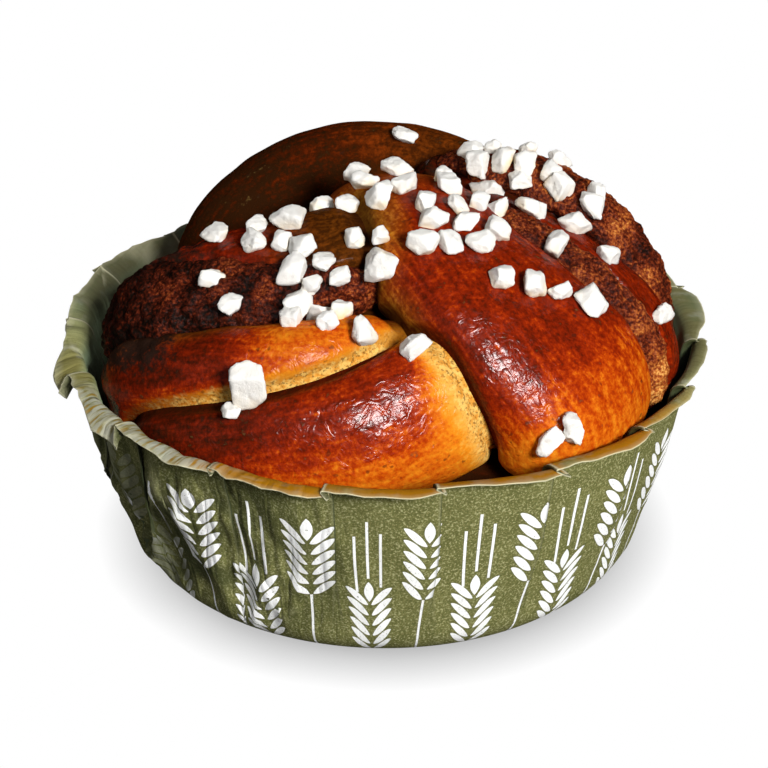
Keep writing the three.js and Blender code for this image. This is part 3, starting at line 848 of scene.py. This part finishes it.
def baked_tones(name, along, angle, away):
    """Brown of the crust, share of pale open crumb, share of char and share of ochre, from the share along a
    strand, the angle round it and the distances to the other strands in millimetres: tops are darkest, low
    ends golden, folds that opened late pale, and dips between strands and the back hoop ochre, which is
    partly less browned crust and partly painted shade."""
    brown = np.full(along.shape, STRAND_BROWN[name])
    pale = np.zeros(along.shape)
    burnt = np.zeros(along.shape)
    ochre = np.zeros(along.shape)
    upper = np.cos(angle)
    if name == "crossing_band":
        brown = toward(brown, 0.39, smooth_rise(along + 0.04 * upper, 0.71, 0.83))
        brown = toward(brown, 0.33, smooth_rise(along + 0.03 * upper, 0.80, 0.90))
        brown = toward(brown, 0.28, smooth_rise(along, 0.76, 0.84) * smooth_rise(upper, 0.5, 0.9))
        ochre = 0.9 * near_to(np.minimum(away["left_upper"], away["left_middle"]), 0.5, 8.0)
        ochre = np.maximum(ochre, 0.6 * (1 - smooth_rise(along, 0.2, 0.4)))
        brown = toward(brown, 0.36, ochre)
        brown = toward(brown, 0.80, 1 - smooth_rise(along, 0.10, 0.30))
        window = smooth_rise(along, 0.22, 0.27) * (1 - smooth_rise(along, 0.36, 0.42))
        pale = window * near_to(away["right_inner"], 0.7, 1.9)
    elif name == "front_lobe":
        from_band = away["crossing_band"]
        lower = smooth_rise(-upper, -0.25, 0.45)
        brown = toward(brown, 0.79, smooth_rise(along, 0.45, 0.75))
        brown = toward(brown, 0.31, lower * (1 - 0.5 * smooth_rise(along, 0.5, 0.8)))
        brown = toward(brown, 0.24, near_to(from_band, 4.0, 10.0) * smooth_rise(-upper, -0.75, -0.1))
        brown = toward(brown, 0.10, near_to(from_band, 1.5, 6.0) * smooth_rise(along, 0.05, 0.18))
        pale = near_to(from_band, 0.5, 4.6) * smooth_rise(along, 0.05, 0.16)
    elif name == "left_middle":
        from_lobe = away["front_lobe"]
        far_end = smooth_rise(along, 0.45, 0.8)
        brown = toward(brown, 0.33, 1 - smooth_rise(along, 0.38, 0.58))
        ochre = 0.9 * near_to(away["left_upper"], 1.0, 5.0)
        brown = toward(brown, 0.60, 0.7 * ochre * smooth_rise(along, 0.3, 0.5))
        brown = toward(brown, 0.18, near_to(from_lobe, 0.6, 3.4) * (1 - 0.4 * far_end))
        pale = near_to(from_lobe, 0.1, 2.6) * (1 - 0.7 * far_end)
        pale = pale * smooth_rise(along, 0.06, 0.18)
        burnt = smooth_rise(along, 0.58, 0.72) * smooth_rise(upper, -0.2, 0.35)
    elif name == "left_upper":
        ochre = 0.85 * (1 - smooth_rise(along, 0.2, 0.45))
        brown = toward(brown, 0.80, ochre)
        burnt = 0.75 * smooth_rise(along, 0.48, 0.64)
    elif name == "right_outer":
        brown = toward(brown, 0.95, 1 - smooth_rise(along, 0.10, 0.25))
    elif name == "back_hoop":
        ochre = 0.25 + 0.4 * smooth_rise(along, 0.35, 0.6)
        # The hoop's left end and its underside take the darkest brown: painted shade
        brown = toward(brown, 1.0, 1 - smooth_rise(along, 0.24, 0.42))
        brown = toward(brown, 0.76, smooth_rise(along, 0.36, 0.52) * (1 - smooth_rise(along, 0.6, 0.75)))
        brown = toward(brown, 1.0, smooth_rise(-np.sin(angle), -0.15, 0.45))
    return brown, pale, burnt, ochre


core = core_grid()
dough_grids = [core]
dough_values = [np.broadcast_to(CORE_SHADE_VALUES, (*core.shape[:2], len(CORE_SHADE_VALUES)))]
dough_places = [core]
for strand_order, strand_name in enumerate(STRANDS):
    along, angle = strand_lattice(strand_name)
    smooth_skin = strand_points(strand_name, along, angle, end_fullness(along))
    away = {}
    for other in STRANDS:
        if other != strand_name:
            away[other] = strand_distance(other, smooth_skin.reshape(-1, 3)).reshape(along.shape)
    nearest = np.maximum(np.min(list(away.values()), axis=0), 0)
    brown, pale, burnt, ochre = baked_tones(strand_name, along, angle, away)
    lumps = layered_noise(smooth_skin, DOUGH_LUMPS) + burnt * layered_noise(smooth_skin, CHAR_LUMPS)
    groove = GROOVE_DEPTH * np.exp(-((nearest / GROOVE_WIDTH) ** 2))
    trough = TROUGH_DEPTH * filling_trough(strand_name, along, angle, smooth_skin)
    skin = smooth_skin + surface_directions(smooth_skin) * (lumps - groove - trough)[..., None]
    dough_grids.append(in_the_case(skin))
    crease = np.exp(-((nearest / CREASE_WIDTH) ** 2)) * (1 - pale)
    gloss = (1 - crease) * (1 - 0.7 * burnt) * (1 - 0.8 * pale) * (1 - ochre)
    gloss = gloss * (0.25 + 0.75 * smooth_rise(brown, 0.2, 0.6)) * (strand_name not in DULL_STRANDS)
    dough_values.append(np.stack([brown, pale, burnt, ochre, crease, gloss], -1))
    # Millimetres along the strand and round it, so that the skin's stretch marks follow it, and a step on for
    # each strand, so that no two have the same marks
    _, _, _, half_width, half_thickness = strand_frame(strand_name, along)
    strand_middles, _ = path_points(STRANDS[strand_name][0], along[:, 0])
    down_strand = along * row_length(strand_middles)
    around = np.abs(angle_between(angle, -np.pi / 2)) * (half_width + half_thickness) / 2
    dough_places.append(np.stack([down_strand, around, 0 * along + SKIN_MARK_STEP * strand_order], -1))
dough = add_piece("baked_dough_knot", *joined_surfaces(dough_grids))
crust_values = np.concatenate([with_poles(values) for values in dough_values])
for value_name, values in zip(CRUST_VALUES, crust_values.T):
    add_values(dough, value_name, values)
strand_place = dough.data.attributes.new("strand_place", "FLOAT_VECTOR", "POINT")
strand_place.data.foreach_set("vector", np.concatenate([with_poles(place) for place in dough_places]).ravel())

CRUST_TONES = (
    (0.00, (0.80, 0.50, 0.17, 1)),
    (0.10, (0.75, 0.36, 0.055, 1)),
    (0.20, (0.68, 0.225, 0.010, 1)),
    (0.30, (0.59, 0.128, 0.005, 1)),
    (0.40, (0.43, 0.050, 0.0018, 1)),
    (0.50, (0.28, 0.020, 0.0012, 1)),
    (0.60, (0.19, 0.0115, 0.001, 1)),
    (0.72, (0.112, 0.0078, 0.001, 1)),
    (0.85, (0.052, 0.006, 0.001, 1)),
    (1.00, (0.015, 0.005, 0.002, 1)),
)
# Ochre tones, for dips between strands and the back hoop: partly less browned crust, partly painted shade
OCHRE_TONES = (
    (0.20, (0.54, 0.245, 0.024, 1)),
    (0.50, (0.19, 0.056, 0.005, 1)),
    (0.85, (0.048, 0.014, 0.0017, 1)),
)
CRUMB_PALE = (0.80, 0.49, 0.125, 1)
CRUMB_GOLDEN = (0.62, 0.25, 0.028, 1)
CHAR = (0.020, 0.0095, 0.006, 1)
SPECK = (0.026, 0.010, 0.005, 1)
CRUMB_SPECK = (0.15, 0.065, 0.014, 1)
CREASE_SHADE = (0.026, 0.007, 0.0017, 1)
EGG_WASH_WEIGHT = 0.45
STRETCH_MARK_SIZES = (6.0, 1.0, 1.0)


def tone_ramp(tree, tone, colours):
    """A colour for each tone, blended between the given places."""
    ramp = add_node(tree, "ShaderNodeValToRGB", Fac=tone)
    stops = ramp.color_ramp.elements
    while len(stops) < len(colours):
        stops.new(0.5)
    for stop, (place, colour) in zip(stops, colours):
        stop.position = place
        stop.color = colour
    return ramp.outputs[0]


crust_finish, tree, shader = new_finish("egg_washed_crust", Specular_IOR_Level=0.0, Coat_Roughness=0.24,
                                        Coat_IOR=1.5)
mottle = noise(tree, 2.2, detail=4.0, roughness=0.65)
grains = noise(tree, 0.7, detail=3.0, roughness=0.6)
strand_coordinates = tree.nodes.new("ShaderNodeAttribute")
strand_coordinates.attribute_name = "strand_place"
streaks = drawn_noise(tree, strand_coordinates.outputs["Vector"], STRETCH_MARK_SIZES)
unevenness = (mottle - 0.5) * 0.5 + (grains - 0.5) * 0.6 + (streaks - 0.5) * 0.5
brown = attribute(tree, "brown")
tone = brown + unevenness * (brown.rise(0.15, 0.6) * 0.65 + 0.35)
crumb = blend(tree, (mottle * 0.5 + grains * 0.5).rise(0.40, 0.58), CRUMB_GOLDEN, CRUMB_PALE)
crumb = blend(tree, noise(tree, 0.45, detail=1.0).rise(0.53, 0.66) * 0.7, crumb, CRUMB_SPECK)
open_crumb = (attribute(tree, "pale") + (mottle - 0.5) * 1.2 + (grains - 0.5) * 0.8).rise(0.2, 0.9)
charred = (attribute(tree, "burnt") + (mottle - 0.5) * 1.6 + (grains - 0.5) * 1.2).rise(0.2, 0.95)
crease = attribute(tree, "crease")
crust = overlaid(
    tree, tone_ramp(tree, tone, CRUST_TONES),
    # Ochre in dips: partly less browned crust, partly painted shade
    (attribute(tree, "ochre"), tone_ramp(tree, tone, OCHRE_TONES)),
    (noise(tree, 1.5, detail=1.0).rise(0.70, 0.76) * 0.55, SPECK),
    (open_crumb, crumb),
    (charred, CHAR),
    (crease * 0.8, CREASE_SHADE),
)
connect(crust, shader.inputs["Base Color"])
connect((open_crumb + charred + crease) * 0.25 + 0.40, shader.inputs["Roughness"])
connect(attribute(tree, "gloss") * EGG_WASH_WEIGHT, shader.inputs["Coat Weight"])
wrinkles = abs(noise(tree, 2.2, detail=2.0, roughness=0.5, distortion=1.0) - 0.5)
skin_relief = bump(tree, streaks, 0.35, 0.25)
skin_relief = bump(tree, wrinkles, 0.9, 0.42, under=skin_relief)
connect(bump(tree, grains, 0.12, 0.35, under=skin_relief), shader.inputs["Coat Normal"])
connect(bump(tree, grains, 0.25, 0.6, under=skin_relief), shader.inputs["Normal"])
dough.data.materials.append(crust_finish)
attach(dough, "root")
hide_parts("dough_knot")

# Cinnamon filling
# Ground cinnamon, sugar and butter, spread on the dough before it was cut and twisted, so that it shows along
# one face of three strands. Baking dried it to a dark crumbly crust in a shallow trough of its strand.

FILLING_ROWS = 190
FILLING_OUTER_COLUMNS = 66
FILLING_INNER_COLUMNS = 18
FILLING_END_CROWDING = 0.3
FILLING_SQUARENESS = 3.3
FILLING_INNER = 0.62
FILLING_OUTER = 1.0
RAGGED_STRETCH = 60
RAGGED_EDGE = ((3.0, 0.16, 51),)
CRUMB_GRAINS = ((2.6, 0.8, 51), (1.2, 0.65, 56), (0.6, 0.2, 58))
CRUMB_LUMPS = ((5, 0.5, 60),)
CRUMB_SINK = 0.75


def crumb_bumps(points, spacing, seed):
    """Rounded grains: one random middle in each lattice cell, and a height that falls with the distance."""
    places = points / spacing
    cells = np.floor(places).astype(np.int64)
    nearest = np.full(points.shape[:-1], 9.0)
    for neighbour in np.ndindex(3, 3, 3):
        cell = cells + np.array(neighbour) - 1
        middle = np.stack([lattice_random(cell, seed + axis) for axis in range(3)], -1) + cell
        nearest = np.minimum(nearest, np.linalg.norm(places - middle, axis=-1))
    return 1 - np.minimum(nearest, 1) ** 2


def filling_grid(strand_name, angles, half_angles, start, end):
    """A ribbon along a strand: a flat rounded sector of the section, with round ends and a crumbly face."""
    share = crowded_ends(FILLING_ROWS, FILLING_END_CROWDING)
    outer_face = np.linspace(1, -1, FILLING_OUTER_COLUMNS)
    inner_face = np.linspace(-1, 1, FILLING_INNER_COLUMNS)[1:-1]
    across = np.concatenate([outer_face, inner_face])[None, ::-1]
    face = np.repeat([1.0, -1.0], [len(outer_face), len(inner_face)])[None, ::-1]
    depth = face * (1 - np.abs(across) ** FILLING_SQUARENESS) ** (1 / FILLING_SQUARENESS)
    along = start + (end - start) * share + 0 * across
    full = end_fullness(share)
    edge_places = np.stack([along * RAGGED_STRETCH, np.sign(across) + 0 * along, 0 * along], -1)
    ragged = 1 + layered_noise(edge_places, RAGGED_EDGE)
    turn = run_angle(angles, along) - run_angle(half_angles, along) * ragged * full * across
    half_depth = (FILLING_OUTER - FILLING_INNER) / 2
    reach = (FILLING_OUTER + FILLING_INNER) / 2 + half_depth * full * depth
    plain = strand_points(strand_name, along, turn, reach)
    crumbs = sum(height * crumb_bumps(plain, spacing, seed) for spacing, height, seed in CRUMB_GRAINS)
    crumbs = crumbs + layered_noise(plain, CRUMB_LUMPS) - CRUMB_SINK
    outer = smooth_rise(depth + 0 * share, 0.1, 0.9) * full
    return plain + surface_directions(plain) * (crumbs * outer)[..., None]


# From scorched, past dark cinnamon, to golden sugar; the darkest tones also serve as painted shade
FILLING_TONES = (
    (0.00, (0.006, 0.003, 0.0018, 1)),
    (0.25, (0.042, 0.0070, 0.0030, 1)),
    (0.45, (0.115, 0.0165, 0.0052, 1)),
    (0.60, (0.23, 0.045, 0.012, 1)),
    (0.80, (0.42, 0.120, 0.020, 1)),
    (1.00, (0.72, 0.35, 0.090, 1)),
)
# How sugary each ribbon is at its start, middle and end; the left ribbon's fall towards its left end is
# painted shade
FILLING_SUGAR_AND_SHADE = {
    "cinnamon_filling_left": (0.40, 0.22, 0.02),
    "cinnamon_filling_right": (0.48, 0.44, 0.78),
    "cinnamon_filling_back": (0.40, 0.44, 0.42),
}
filling_finish, tree, shader = new_finish("baked_cinnamon_sugar", Roughness=0.5, Specular_IOR_Level=0.02,
                                          Coat_Weight=0.04, Coat_Roughness=0.2)
grains = noise(tree, 0.5, detail=3.0, roughness=0.6)
patches = noise(tree, 4.5, detail=3.0)
sugar_and_shade = attribute(tree, "sugar_and_shade") + (patches - 0.5) * 1.3 + (grains - 0.5) * 1.6
connect(tone_ramp(tree, sugar_and_shade, FILLING_TONES), shader.inputs["Base Color"])
grain_relief = bump(tree, grains, 0.35, 0.9)
connect(grain_relief, shader.inputs["Normal"])
connect(grain_relief, shader.inputs["Coat Normal"])
filling_pieces = []
for node_name, layout in FILLINGS.items():
    ribbon = filling_grid(*layout)
    piece = add_piece(node_name + "_crumb", with_poles(ribbon), *pole_faces(*ribbon.shape[:2]))
    down_ribbon = np.linspace(0, 1, len(ribbon))[:, None] + np.zeros(ribbon.shape[1])
    add_values(piece, "sugar_and_shade", bend(FILLING_SUGAR_AND_SHADE[node_name], with_poles(down_ribbon)))
    piece.data.materials.append(filling_finish)
    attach(piece, "root")
    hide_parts(node_name)
    filling_pieces.append(piece)

# Pearl sugar
# Nibs of pressed white sugar, broken into blunt chunks and strewn on the wet egg wash, so that each one sits
# a little way into the crust. Some have a cream or caramel-coloured foot, which is painted warm light thrown
# up from the crust.

SUGAR_SEED = 2024
NIB_SEED = 77
NIB_HALF_SIZE = (1.9, 2.9)
NIB_LIFT = 0.4
NIB_FLATNESS = 0.25
NIB_ROWS = 30
NIB_COLUMNS = 40
NIB_EDGE_POWER = 40
# The chunk's width and thickness as shares of its length, and the shares of their reach that its other three
# sides and its chips keep
NIB_WIDTH = (0.66, 0.95)
NIB_THICKNESS = (0.56, 0.85)
NIB_BROKEN_BACK = (0.85, 1.0)
NIB_CHIPS = 11
NIB_CHIP_HEIGHT = (0.70, 1.0)
NIB_GRAIN = ((1.5, 0.22, 61), (0.6, 0.16, 62))
NIB_WARM_BOUNCE = 1.1
# A nib past the usual size is flatter, by this much more from this half size on
LARGE_NIB_FLATNESS = 0.25
LARGE_NIB = 4.0

# Trails seen from above: start, end, number of nibs and how far they stray to each side
SUGAR_TRAILS = (
    ((-28.5, -8), (-11.5, -8.9), 3, 0.4),
    ((-22.7, -11.4), (-10.3, -17.1), 3, 0.4),
    ((-16.6, -18.4), (-6.1, -18.3), 2, 0.3),
    ((-7.4, -14.5), (1.8, -17.3), 2, 0.3),
    ((-12.2, -2.2), (1.4, -9.5), 3, 0.4),
    ((-3.7, -3.8), (-4.5, 7.3), 2, 0.3),
    ((1, 7.3), (3.4, -8.6), 2, 0.3),
    ((5, -7.5), (11.2, -21.2), 3, 0.4),
    ((-2.5, -19.9), (8.2, -19.7), 2, 0.2),
    ((8.6, 3.2), (12.6, -16.3), 4, 0.4),
    ((14, -19.8), (17.9, -12.6), 2, 0.3),
    ((12.6, -7), (24.2, -4.3), 3, 0.6),
    ((11.2, 11.8), (30.5, 10.3), 4, 0.6),
    ((13.9, 8.9), (28.3, 4.7), 4, 0.4),
    ((13.5, 4.9), (37, 2.5), 4, 0.5),
    ((34.5, 3.5), (25.8, -13), 3, 0.3),
    ((14.8, -24.6), (33.8, -22.4), 4, 0.4),
    ((-28.2, -14.4), (-21.4, -24.1), 2, 0.2),
    ((-13.8, -21.3), (-4.6, -19.7), 2, 0.2),
    ((-15.3, -21.7), (-4.9, -24.2), 3, 0.3),
    ((-16.9, -25.6), (-1, -29), 3, 0.4),
)
# Nibs that rolled away: place seen from above and half size
STRAY_NIBS = (
    ((3, 23.4), 2.1), ((4.3, -31.9), 2.4), ((-20.5, -32.9), 4), ((-23.1, -34.9), 1.9), ((34.7, -9.6), 2.2),
    ((43.3, -13.5), 2.3), ((27.4, -39), 2.5), ((25, -41.2), 2.1),
)
FALL_HEIGHT = 90
DRAWN_IN = 0.995


def seeded_draws(seed):
    """A repeatable row of numbers from 0 to 1, by the multiplicative rule of Park and Miller."""
    state = seed
    while True:
        state = state * 16807 % 2147483647
        yield state / 2147483647


def sugar_places():
    """Places seen from above and half sizes of the nibs: spread along each trail, with a seeded jitter."""
    draw = seeded_draws(SUGAR_SEED)
    places = []
    for start, end, nibs, spread in SUGAR_TRAILS:
        run = np.subtract(end, start)
        across = np.array([-run[1], run[0]]) / np.linalg.norm(run)
        for i in range(nibs):
            share = (i + 0.4 + 0.2 * next(draw)) / nibs
            sway = spread * (2 * next(draw) - 1)
            half_size = NIB_HALF_SIZE[0] + (NIB_HALF_SIZE[1] - NIB_HALF_SIZE[0]) * next(draw)
            places.append((np.array(start) + run * share + across * sway, half_size))
    return places + [(np.array(place), half_size) for place, half_size in STRAY_NIBS]


def landing(place):
    """Where a nib that falls straight down first meets the dough or the filling, and the normal there.
    A place past the dough's edge is drawn in towards the middle until it meets it."""
    best = None
    while best is None:
        start = Vector((place[0], place[1], FALL_HEIGHT)) * MILLIMETRE
        for piece in (dough, *filling_pieces):
            met, point, normal, _ = piece.ray_cast(start, Vector((0, 0, -1)))
            if met and (best is None or point.z > best[0].z):
                best = (point, normal)
        place = place * DRAWN_IN
    return np.array(best[0]) / MILLIMETRE, np.array(best[1])


bpy.context.view_layer.update()
sugar_draws = np.random.default_rng(NIB_SEED)
nib_turns = seeded_draws(NIB_SEED)
latitude = np.linspace(0, np.pi, NIB_ROWS)[:, None]
longitude = np.linspace(0, 2 * np.pi, NIB_COLUMNS, endpoint=False)[None, :]
ball = np.stack([np.sin(latitude) * np.cos(longitude), np.sin(latitude) * np.sin(longitude),
                 np.cos(latitude) + 0 * longitude], -1)
nib_grids = []
nib_warm_bounce = []
for place, half_size in sugar_places():
    spot, normal = landing(place)
    # Four draws to a nib, of which three turn it
    turn = Euler([math.pi * next(nib_turns) for _ in range(4)][:3]).to_matrix()
    # A blunt chunk: six sides of a block and some chips off its corners, blended so that its edges are round
    block = np.array([1.0, sugar_draws.uniform(*NIB_WIDTH), sugar_draws.uniform(*NIB_THICKNESS)]) * half_size
    chips = sugar_draws.normal(size=(NIB_CHIPS, 3))
    chips /= np.linalg.norm(chips, axis=1, keepdims=True)
    chip_heights = np.linalg.norm(chips * block, axis=1) * sugar_draws.uniform(*NIB_CHIP_HEIGHT, NIB_CHIPS)
    sides = np.concatenate([np.eye(3), -np.eye(3), chips])
    heights = np.concatenate([block, block * sugar_draws.uniform(*NIB_BROKEN_BACK, 3), chip_heights])
    closeness = np.maximum(ball @ sides.T / heights, 0) ** NIB_EDGE_POWER
    chunk = ball / np.sum(closeness, axis=-1, keepdims=True) ** (1 / NIB_EDGE_POWER)
    chunk = chunk @ np.array(turn).T
    flatness = NIB_FLATNESS + LARGE_NIB_FLATNESS * smooth_rise(half_size, NIB_HALF_SIZE[1], LARGE_NIB)
    chunk = chunk - flatness * (chunk @ normal)[..., None] * normal + spot + normal * NIB_LIFT * half_size
    grain = layered_noise(chunk, NIB_GRAIN) * np.sin(latitude)
    chunk = chunk + surface_directions(chunk) * grain[..., None]
    above = (chunk - spot) @ normal / half_size
    foot = 1 - smooth_rise(above, -0.1, 0.9)
    nib_grids.append(chunk[:, ::-1])
    nib_warm_bounce.append(with_poles((foot * sugar_draws.uniform(0, NIB_WARM_BOUNCE))[:, ::-1]))
sugar = add_piece("pearl_sugar_nibs", *joined_surfaces(nib_grids))
add_values(sugar, "warm_bounce", np.concatenate(nib_warm_bounce))

SUGAR_WHITE = (0.81, 0.79, 0.745, 1)
SUGAR_WARM_BOUNCE = (0.80, 0.58, 0.27, 1)
sugar_finish, tree, shader = new_finish("pressed_pearl_sugar", Roughness=0.65, Specular_IOR_Level=0.3)
# A cream to caramel colour at the foot of some nibs: painted warm light thrown up from the crust
warm_bounce_share = attribute(tree, "warm_bounce") * noise(tree, 2.5, detail=2.0).rise(0.3, 0.7)
connect(blend(tree, warm_bounce_share, SUGAR_WHITE, SUGAR_WARM_BOUNCE), shader.inputs["Base Color"])
grit = noise(tree, 0.35, detail=3.0, roughness=0.7)
connect(bump(tree, grit, 0.25, 0.7), shader.inputs["Normal"])
sugar.data.materials.append(sugar_finish)
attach(sugar, "root")

# Stage
# A plain white floor that glows evenly, with a painted shadow close round the case, under studio light: a key
# lamp from the front right, a lamp over the camera that only makes highlights, weak ones from the left and
# from low behind on both sides, and a faint sky.

FLOOR_HALF = 4.0
FLOOR_DROP = 0.0002
FLOOR_WHITE = (1, 1, 1, 1)
FLOOR_SHADE = (0.45, 0.45, 0.45, 1)
FLOOR_SHADE_REACH = 0.008
LAMP_DISTANCE = 0.9
# Each lamp: its turn to the right of the front and its height in degrees, its size, its power, and whether it
# lights surfaces and shows in highlights
LAMPS = {
    "shine_softbox": (6.0, 34.5, 0.30, 17.0, False, True),
    "key_softbox": (27.0, 31.0, 0.22, 11.0, True, False),
    "fill_softbox": (-60.0, 25.0, 0.5, 1.0, True, False),
    "back_right_softbox": (150.0, 7.0, 0.4, 3.5, True, False),
    "back_left_softbox": (-145.0, 7.0, 0.4, 3.5, True, False),
}
SKY_WHITE = (1, 1, 1, 1)
SKY_STRENGTH = 0.10
CAMERA_TARGET = Vector((-0.0002, 0.0, 0.0261))
CAMERA_DISTANCE = 0.350
CAMERA_ELEVATION = 28.75
CAMERA_LENS = 97.34
CAMERA_CLIP_START = 0.01

floor_mesh = bpy.data.meshes.new("white_floor")
floor_corners = [(-FLOOR_HALF, -FLOOR_HALF, -FLOOR_DROP), (FLOOR_HALF, -FLOOR_HALF, -FLOOR_DROP),
                 (FLOOR_HALF, FLOOR_HALF, -FLOOR_DROP), (-FLOOR_HALF, FLOOR_HALF, -FLOOR_DROP)]
floor_mesh.from_pydata(floor_corners, [], [(0, 1, 2, 3)])
floor = bpy.data.objects.new("white_floor", floor_mesh)
bpy.context.scene.collection.objects.link(floor)
floor.visible_diffuse = False
floor.visible_glossy = False
floor_finish, tree, shader = new_finish("white_floor", Base_Color=(0, 0, 0, 1), Specular_IOR_Level=0.0,
                                        Emission_Strength=1.0)
# Painted shadow: the floor's glow dims where the case is close
openness = add_node(tree, "ShaderNodeAmbientOcclusion", Distance=FLOOR_SHADE_REACH)
connect(blend(tree, openness.outputs["AO"], FLOOR_SHADE, FLOOR_WHITE), shader.inputs["Emission Color"])
floor_mesh.materials.append(floor_finish)


def direction(azimuth, elevation):
    """The unit direction from the object to a place, by the turn to the right of the front and the height."""
    turn, rise = math.radians(azimuth), math.radians(elevation)
    return Vector((math.sin(turn) * math.cos(rise), -math.cos(turn) * math.cos(rise), math.sin(rise)))


for lamp_name, (azimuth, elevation, size, power, lights, shines) in LAMPS.items():
    lamp_data = bpy.data.lights.new(lamp_name, "AREA")
    lamp_data.shape = "DISK"
    lamp_data.size = size
    lamp_data.energy = power
    lamp = bpy.data.objects.new(lamp_name, lamp_data)
    lamp.location = CAMERA_TARGET + LAMP_DISTANCE * direction(azimuth, elevation)
    lamp.rotation_euler = direction(azimuth, elevation).to_track_quat("Z", "Y").to_euler()
    lamp.visible_diffuse = lights
    lamp.visible_glossy = shines
    bpy.context.scene.collection.objects.link(lamp)

sky = bpy.data.worlds.new("even_sky")
sky.use_nodes = True
sky.node_tree.nodes["Background"].inputs["Color"].default_value = SKY_WHITE
sky.node_tree.nodes["Background"].inputs["Strength"].default_value = SKY_STRENGTH
sky.cycles_visibility.glossy = False
bpy.context.scene.world = sky

camera_data = bpy.data.cameras.new("photo_camera")
camera_data.lens = CAMERA_LENS
camera_data.clip_start = CAMERA_CLIP_START
camera = bpy.data.objects.new("photo_camera", camera_data)
camera.location = CAMERA_TARGET + CAMERA_DISTANCE * direction(0, CAMERA_ELEVATION)
camera.rotation_euler = (math.radians(90 - CAMERA_ELEVATION), 0, 0)
bpy.context.scene.collection.objects.link(camera)
bpy.context.scene.camera = camera
bpy.context.scene.view_settings.view_transform = "Standard"
